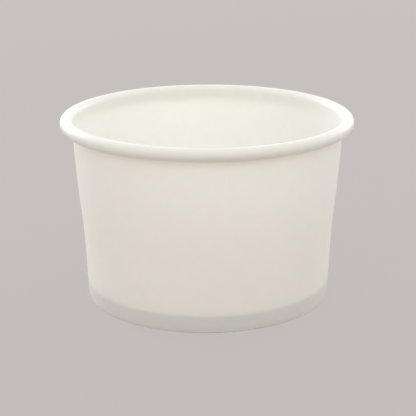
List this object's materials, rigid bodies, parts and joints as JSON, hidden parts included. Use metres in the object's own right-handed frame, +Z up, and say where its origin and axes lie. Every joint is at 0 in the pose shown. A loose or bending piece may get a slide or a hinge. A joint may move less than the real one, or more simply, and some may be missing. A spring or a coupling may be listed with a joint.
{
  "type": "paper sundae cup",
  "caption": "Short wide paperboard cup with tapered sidewall, outward-rolled rim, lapped side seam and a floor recessed above a folded foot.",
  "frame": {"origin": "centre of the circle that the cup stands on, at the table", "axes": "+Z up along the cup's axis towards its mouth, +X towards the side seam"},
  "size_m": [0.095, 0.095, 0.0603],
  "materials": {
    "sidewall_board": "smooth white cupstock board with a satin polyethylene film on the food side",
    "bottom_board": "smooth white cupstock board with a satin polyethylene film on the food side"
  },
  "bodies": {
    "root": {"sidewall": "sidewall_board", "bottom": "bottom_board"}
  },
  "joints": []
}
